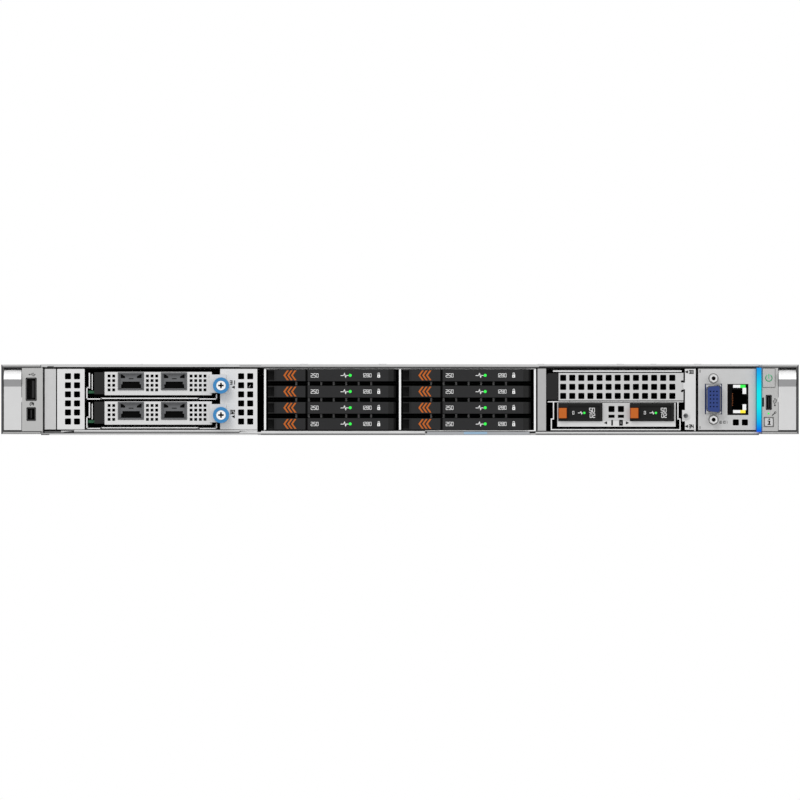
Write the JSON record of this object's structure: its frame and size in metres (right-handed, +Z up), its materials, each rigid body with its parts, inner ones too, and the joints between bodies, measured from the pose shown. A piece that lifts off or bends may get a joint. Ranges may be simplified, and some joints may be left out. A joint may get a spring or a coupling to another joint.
{
  "type": "1u rack server",
  "caption": "Flat rack-mount server with front network cards, thin hot-plug drives, sprung rack latches, a lift-off cover and rear hot-plug power supplies.",
  "frame": {"origin": "on the underside, midway across, in the plane where the ears bear on the rack posts", "axes": "+X to the right seen from the front, +Y to the rear, +Z up"},
  "size_m": [0.482, 0.8122, 0.0428],
  "materials": {
    "sheet_steel": "galvanised",
    "panel_steel": "nickel plated",
    "plated_steel": "plated",
    "panel_plastic": "satin paint",
    "latch_metal": "satin",
    "dark_plastic": "moulded",
    "black_plastic": "moulded",
    "port_blue": "moulded insert in a plated shell",
    "light_guide": "lit",
    "button_plastic": "satin",
    "board_green": "solder mask",
    "memory_green": "solder mask",
    "fin_aluminium": "machined",
    "tag_plastic": "moulded",
    "screw_blue": "blue collar on a plated screw",
    "drive_metal": "dark anodised",
    "orange_plastic": "moulded",
    "release_plastic": "dark, with light marks",
    "psu_steel": "galvanised"
  },
  "bodies": {
    "chassis": {"chassis_tray": "sheet_steel", "rear_panel": "sheet_steel", "drive_bay_cover": "sheet_steel", "drive_cage": "sheet_steel", "card_bay_panels": "panel_steel", "left_ear": "sheet_steel", "right_ear": "sheet_steel", "rail_studs": "plated_steel", "left_control_panel": "panel_plastic", "right_control_panel": "panel_plastic", "usb_port": "plated_steel", "display_port": "plated_steel", "usb_c_port": "plated_steel", "video_port": "port_blue", "network_jack": "black_plastic", "io_plate": "panel_steel", "status_light_bar": "light_guide", "riser_bracket": "panel_steel", "slot_blank": "panel_steel", "boot_bracket": "panel_steel", "mainboard": "board_green", "heatsinks": "fin_aluminium", "memory_modules": "memory_green", "fan_modules": "black_plastic", "drive_backplane": "board_green"},
    "drive_0": {"drive_0": "drive_metal"},
    "drive_0_release": {"drive_0_release": "release_plastic"},
    "drive_1": {"drive_1": "drive_metal"},
    "drive_1_release": {"drive_1_release": "release_plastic"},
    "drive_2": {"drive_2": "drive_metal"},
    "drive_2_release": {"drive_2_release": "release_plastic"},
    "drive_3": {"drive_3": "drive_metal"},
    "drive_3_release": {"drive_3_release": "release_plastic"},
    "drive_4": {"drive_4": "drive_metal"},
    "drive_4_release": {"drive_4_release": "release_plastic"},
    "drive_5": {"drive_5": "drive_metal"},
    "drive_5_release": {"drive_5_release": "release_plastic"},
    "drive_6": {"drive_6": "drive_metal"},
    "drive_6_release": {"drive_6_release": "release_plastic"},
    "drive_7": {"drive_7": "drive_metal"},
    "drive_7_release": {"drive_7_release": "release_plastic"},
    "top_cover": {"top_cover": "sheet_steel"},
    "cover_latch": {"cover_latch": "dark_plastic"},
    "left_latch": {"left_latch": "latch_metal"},
    "right_latch": {"right_latch": "latch_metal"},
    "power_button": {"power_button": "button_plastic"},
    "id_button": {"id_button": "button_plastic"},
    "information_tag": {"information_tag": "tag_plastic"},
    "card_a": {"card_a": "panel_steel"},
    "card_a_screw": {"card_a_screw": "screw_blue"},
    "card_b": {"card_b": "panel_steel"},
    "card_b_screw": {"card_b_screw": "screw_blue"},
    "boot_drive_0": {"boot_drive_0": "drive_metal"},
    "boot_release_0": {"boot_release_0": "orange_plastic"},
    "boot_drive_1": {"boot_drive_1": "drive_metal"},
    "boot_release_1": {"boot_release_1": "orange_plastic"},
    "psu_1": {"psu_1": "psu_steel"},
    "psu_1_latch": {"psu_1_latch": "orange_plastic"},
    "psu_2": {"psu_2": "psu_steel"},
    "psu_2_latch": {"psu_2_latch": "orange_plastic"}
  },
  "joints": [
    {"name": "drive_0_slide", "type": "slide", "parent": "chassis", "child": "drive_0", "axis": [0, -1, 0], "range_m": [0, 0.125]},
    {"name": "drive_0_release_slide", "type": "slide", "parent": "drive_0", "child": "drive_0_release", "axis": [-1, 0, 0], "range_m": [0, 0.0034], "stiffness_N_per_m": 120, "springref_m": -0.002},
    {"name": "drive_1_slide", "type": "slide", "parent": "chassis", "child": "drive_1", "axis": [0, -1, 0], "range_m": [0, 0.125]},
    {"name": "drive_1_release_slide", "type": "slide", "parent": "drive_1", "child": "drive_1_release", "axis": [-1, 0, 0], "range_m": [0, 0.0034], "stiffness_N_per_m": 120, "springref_m": -0.002},
    {"name": "drive_2_slide", "type": "slide", "parent": "chassis", "child": "drive_2", "axis": [0, -1, 0], "range_m": [0, 0.125]},
    {"name": "drive_2_release_slide", "type": "slide", "parent": "drive_2", "child": "drive_2_release", "axis": [-1, 0, 0], "range_m": [0, 0.0034], "stiffness_N_per_m": 120, "springref_m": -0.002},
    {"name": "drive_3_slide", "type": "slide", "parent": "chassis", "child": "drive_3", "axis": [0, -1, 0], "range_m": [0, 0.125]},
    {"name": "drive_3_release_slide", "type": "slide", "parent": "drive_3", "child": "drive_3_release", "axis": [-1, 0, 0], "range_m": [0, 0.0034], "stiffness_N_per_m": 120, "springref_m": -0.002},
    {"name": "drive_4_slide", "type": "slide", "parent": "chassis", "child": "drive_4", "axis": [0, -1, 0], "range_m": [0, 0.125]},
    {"name": "drive_4_release_slide", "type": "slide", "parent": "drive_4", "child": "drive_4_release", "axis": [-1, 0, 0], "range_m": [0, 0.0034], "stiffness_N_per_m": 120, "springref_m": -0.002},
    {"name": "drive_5_slide", "type": "slide", "parent": "chassis", "child": "drive_5", "axis": [0, -1, 0], "range_m": [0, 0.125]},
    {"name": "drive_5_release_slide", "type": "slide", "parent": "drive_5", "child": "drive_5_release", "axis": [-1, 0, 0], "range_m": [0, 0.0034], "stiffness_N_per_m": 120, "springref_m": -0.002},
    {"name": "drive_6_slide", "type": "slide", "parent": "chassis", "child": "drive_6", "axis": [0, -1, 0], "range_m": [0, 0.125]},
    {"name": "drive_6_release_slide", "type": "slide", "parent": "drive_6", "child": "drive_6_release", "axis": [-1, 0, 0], "range_m": [0, 0.0034], "stiffness_N_per_m": 120, "springref_m": -0.002},
    {"name": "drive_7_slide", "type": "slide", "parent": "chassis", "child": "drive_7", "axis": [0, -1, 0], "range_m": [0, 0.125]},
    {"name": "drive_7_release_slide", "type": "slide", "parent": "drive_7", "child": "drive_7_release", "axis": [-1, 0, 0], "range_m": [0, 0.0034], "stiffness_N_per_m": 120, "springref_m": -0.002},
    {"name": "cover_lift", "type": "slide", "parent": "chassis", "child": "top_cover", "axis": [0, 0, 1], "range_m": [0, 0.2]},
    {"name": "cover_latch_hinge", "type": "hinge", "parent": "top_cover", "child": "cover_latch", "pos_m": [0, 0.297, 0.039], "axis": [-1, 0, 0], "range_deg": [0, 75]},
    {"name": "left_latch_hinge", "type": "hinge", "parent": "chassis", "child": "left_latch", "pos_m": [-0.2341, -0.0186, 0.037], "axis": [-1, 0, 0], "range_deg": [0, 40], "stiffness_Nm_per_rad": 0.03, "springref_deg": -17.19},
    {"name": "right_latch_hinge", "type": "hinge", "parent": "chassis", "child": "right_latch", "pos_m": [0.2341, -0.0186, 0.037], "axis": [-1, 0, 0], "range_deg": [0, 40], "stiffness_Nm_per_rad": 0.03, "springref_deg": -17.19},
    {"name": "power_button_press", "type": "slide", "parent": "chassis", "child": "power_button", "axis": [0, 1, 0], "range_m": [0, 0.0012], "stiffness_N_per_m": 300, "springref_m": -0.001},
    {"name": "id_button_press", "type": "slide", "parent": "chassis", "child": "id_button", "axis": [0, 1, 0], "range_m": [0, 0.0008], "stiffness_N_per_m": 300, "springref_m": -0.001},
    {"name": "information_tag_slide", "type": "slide", "parent": "chassis", "child": "information_tag", "axis": [0, -1, 0], "range_m": [0, 0.055]},
    {"name": "card_a_slide", "type": "slide", "parent": "chassis", "child": "card_a", "axis": [0, -1, 0], "range_m": [0, 0.13]},
    {"name": "card_a_screw_turn", "type": "hinge", "parent": "card_a", "child": "card_a_screw", "pos_m": [-0.1081, -0.024, 0.02995], "axis": [0, -1, 0], "continuous": true},
    {"name": "card_b_slide", "type": "slide", "parent": "chassis", "child": "card_b", "axis": [0, -1, 0], "range_m": [0, 0.13]},
    {"name": "card_b_screw_turn", "type": "hinge", "parent": "card_b", "child": "card_b_screw", "pos_m": [-0.1081, -0.024, 0.01213], "axis": [0, -1, 0], "continuous": true},
    {"name": "boot_drive_0_slide", "type": "slide", "parent": "chassis", "child": "boot_drive_0", "axis": [0, -1, 0], "range_m": [0, 0.1]},
    {"name": "boot_release_0_press", "type": "slide", "parent": "boot_drive_0", "child": "boot_release_0", "axis": [0, 1, 0], "range_m": [0, 0.002], "stiffness_N_per_m": 300, "springref_m": -0.001},
    {"name": "boot_drive_1_slide", "type": "slide", "parent": "chassis", "child": "boot_drive_1", "axis": [0, -1, 0], "range_m": [0, 0.1]},
    {"name": "boot_release_1_press", "type": "slide", "parent": "boot_drive_1", "child": "boot_release_1", "axis": [0, 1, 0], "range_m": [0, 0.002], "stiffness_N_per_m": 300, "springref_m": -0.001},
    {"name": "psu_1_slide", "type": "slide", "parent": "chassis", "child": "psu_1", "axis": [0, 1, 0], "range_m": [0, 0.2]},
    {"name": "psu_1_latch_slide", "type": "slide", "parent": "psu_1", "child": "psu_1_latch", "axis": [-1, 0, 0], "range_m": [0, 0.003], "stiffness_N_per_m": 600, "springref_m": -0.002},
    {"name": "psu_2_slide", "type": "slide", "parent": "chassis", "child": "psu_2", "axis": [0, 1, 0], "range_m": [0, 0.2]},
    {"name": "psu_2_latch_slide", "type": "slide", "parent": "psu_2", "child": "psu_2_latch", "axis": [-1, 0, 0], "range_m": [0, 0.003], "stiffness_N_per_m": 600, "springref_m": -0.002}
  ]
}
